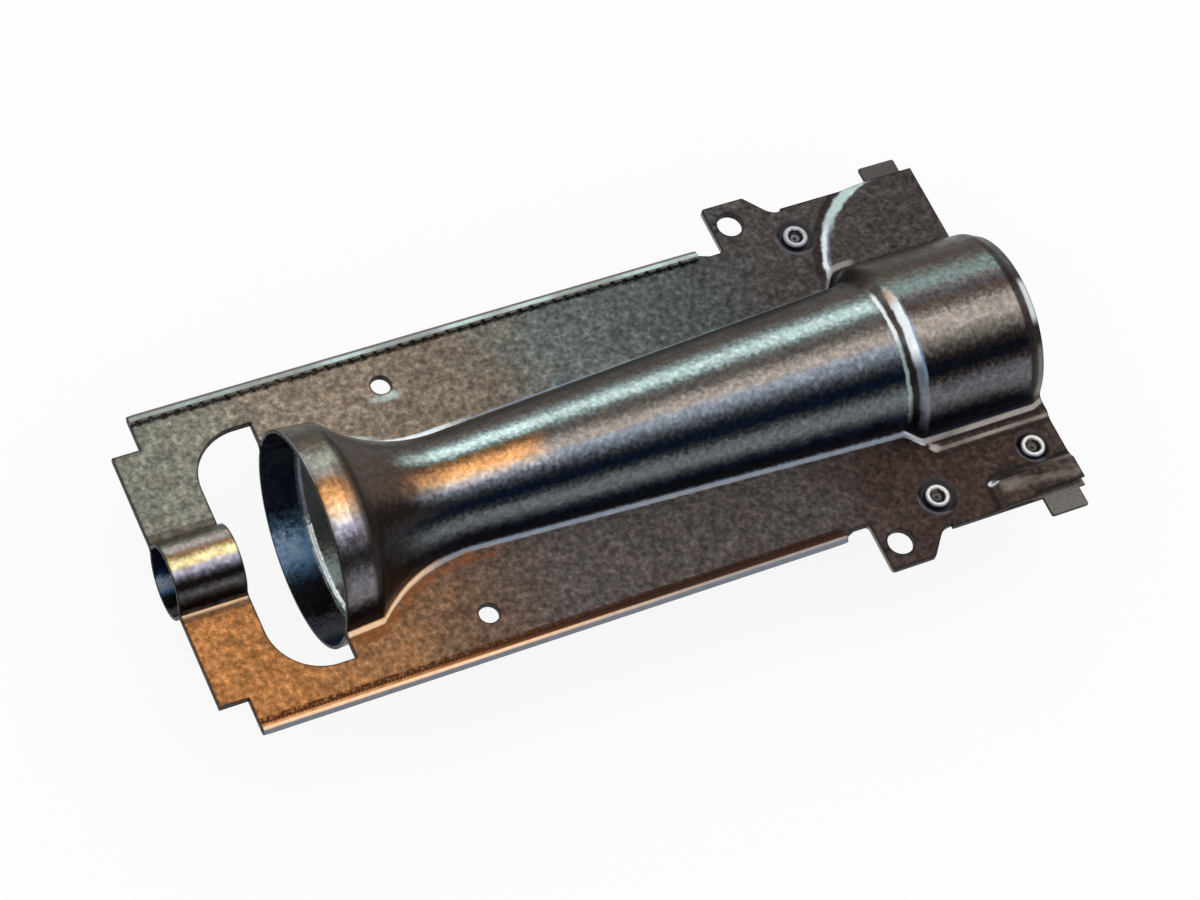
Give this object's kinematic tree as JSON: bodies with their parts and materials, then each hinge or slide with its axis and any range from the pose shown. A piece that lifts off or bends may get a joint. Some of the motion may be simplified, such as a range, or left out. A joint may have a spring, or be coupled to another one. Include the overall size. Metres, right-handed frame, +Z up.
{
  "type": "inshot gas burner",
  "caption": "Inshot gas furnace burner: two pressed sheet halves riveted into a venturi tube with an orifice collar, air opening, mounting ears and a flame retention insert.",
  "frame": {"origin": "on the gas axis at the inlet face of the orifice collar, in the plane where the two sheets meet", "axes": "+X with the gas flow to the flame end, +Z up out of the upper sheet, +Y to the side of the carry-over slot"},
  "size_m": [0.202, 0.0996, 0.0486],
  "materials": {
    "upper_sheet": "aluminised sheet, bright and mottled, a little tarnished",
    "lower_sheet": "aluminised sheet, bright and mottled, a little tarnished",
    "rivet_steel": "plated, bright",
    "insert_steel": "stainless strip, satin"
  },
  "bodies": {
    "root": {"upper_shell": "upper_sheet", "lower_shell": "lower_sheet", "rear_far_rivet": "rivet_steel", "rear_near_rivet": "rivet_steel", "front_near_rivet": "rivet_steel", "retention_band": "insert_steel", "retention_ribbon": "insert_steel", "retention_core": "insert_steel"}
  },
  "joints": []
}
